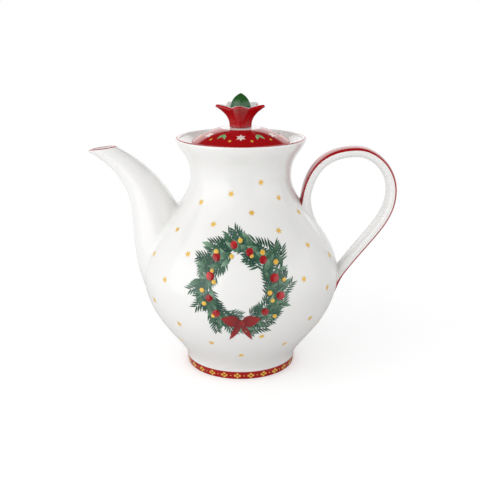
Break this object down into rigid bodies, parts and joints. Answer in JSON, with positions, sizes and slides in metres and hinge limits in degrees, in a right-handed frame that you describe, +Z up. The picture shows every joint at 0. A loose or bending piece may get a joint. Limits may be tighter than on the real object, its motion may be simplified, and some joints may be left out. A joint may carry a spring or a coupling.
{
  "type": "coffee pot",
  "caption": "Glazed porcelain coffee pot with a pear-shaped body, curved spout, strap handle and a lift-off domed lid with a bud knob.",
  "frame": {"origin": "on the pot's axis at the table, in the middle of the standing ring", "axes": "+Z up along the pot's axis, +X towards the handle, so the spout points to -X and the decorated front faces -Y"},
  "size_m": [0.2311, 0.1478, 0.2067],
  "materials": {
    "white_glaze": "clear glossy glaze over white porcelain",
    "red_glaze": "glossy red enamel under a clear glaze",
    "green_glaze": "glossy green enamel under a clear glaze"
  },
  "bodies": {
    "pot": {"pot_body": "white_glaze", "spout": "white_glaze", "handle": "white_glaze"},
    "lid": {"lid": "red_glaze", "lid_nose": "white_glaze", "knob_cup": "red_glaze", "knob_bud": "green_glaze"}
  },
  "joints": [
    {"name": "lid_lift", "type": "slide", "parent": "pot", "child": "lid", "axis": [0, 0, 1], "range_m": [0, 0.06]}
  ]
}
